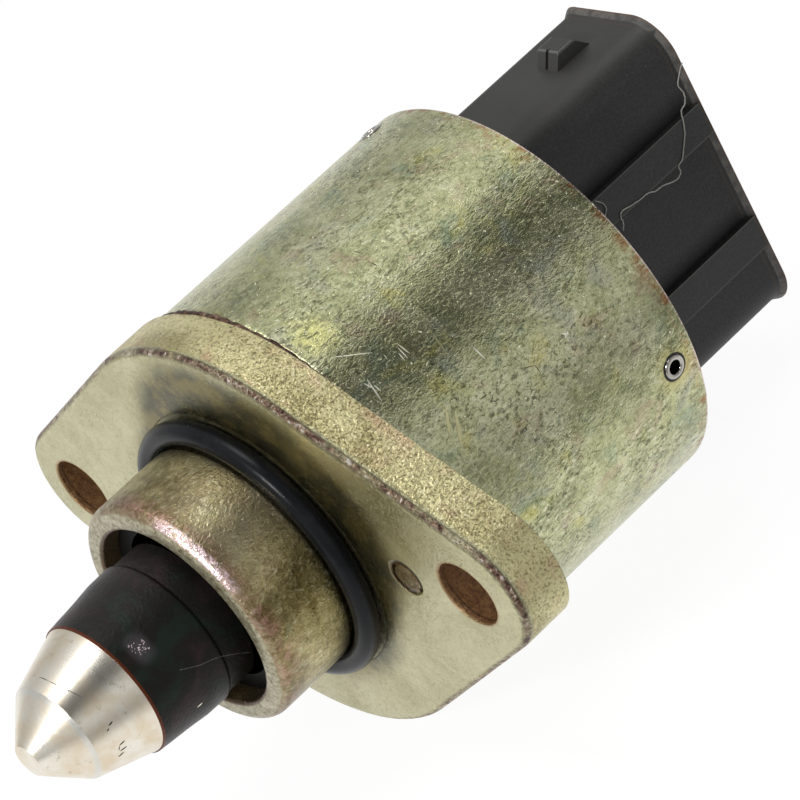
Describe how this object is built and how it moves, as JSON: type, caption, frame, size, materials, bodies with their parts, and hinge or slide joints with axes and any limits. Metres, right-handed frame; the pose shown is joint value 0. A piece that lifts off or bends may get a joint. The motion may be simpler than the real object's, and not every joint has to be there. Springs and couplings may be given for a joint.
{
  "type": "idle air control valve",
  "caption": "Idle air valve moved by a stepper motor: cone-tipped pintle in a sealed nose collar, oval bolt-on flange, drawn steel can and rectangular plug socket",
  "frame": {"origin": "centre of the flange's sealing face, on the axis of can and pintle, midway between the two bolt holes", "axes": "+Z along the axis from the pintle to the plug socket, X through the two bolt holes, Y along the long side of the socket; the latch ramp is on the -Y side and the keying ribs on the +X side"},
  "size_m": [0.0602, 0.0362, 0.0752],
  "materials": {
    "zinc_steel": "yellow-olive passivated zinc, finely etched",
    "rubber": "moulded, slightly glossy",
    "black_plastic": "moulded, satin",
    "socket_plastic": "moulded glass-filled, matt",
    "turned_alloy": "turned, bright",
    "steel": "ground",
    "pole_sheet": "stamped sheet",
    "bronze": "sintered",
    "magnet": "ground ferrite",
    "bobbin_plastic": "moulded",
    "copper_wire": "enamelled copper",
    "tinned_contact": "tinned"
  },
  "bodies": {
    "valve_body": {"mounting_flange": "zinc_steel", "canister": "zinc_steel", "nose_collar": "zinc_steel", "seal_ring": "rubber", "guide_bush": "black_plastic", "bearing_outer_ring": "steel", "bearing_balls": "steel", "bearing_cage": "bronze", "front_pole_cup": "pole_sheet", "front_pole_plate": "pole_sheet", "rear_pole_plate": "pole_sheet", "rear_pole_cup": "pole_sheet", "front_bobbin": "bobbin_plastic", "rear_bobbin": "bobbin_plastic", "front_winding": "copper_wire", "rear_winding": "copper_wire", "wave_washer": "steel", "rear_bush": "bronze", "base_seal_ring": "rubber", "plug_socket": "socket_plastic", "terminals": "tinned_contact", "retaining_pins": "steel"},
    "rotor": {"rotor_hub": "black_plastic", "rotor_magnet": "magnet", "drive_nut": "bronze", "bearing_inner_ring": "steel"},
    "pintle": {"pintle_sleeve": "black_plastic", "pintle_tip": "turned_alloy", "lead_screw": "steel"}
  },
  "joints": [
    {"name": "rotor_spin", "type": "hinge", "parent": "valve_body", "child": "rotor", "pos_m": [0, 0, 0], "axis": [0, 0, 1], "range_deg": [-1440, 360]},
    {"name": "pintle_slide", "type": "slide", "parent": "valve_body", "child": "pintle", "axis": [0, 0, -1], "range_m": [-0.00805, 0.00205]}
  ],
  "couplings": [
    {"joint": "pintle_slide", "follows": "rotor_spin", "m_per_rad": 0.00031831}
  ]
}
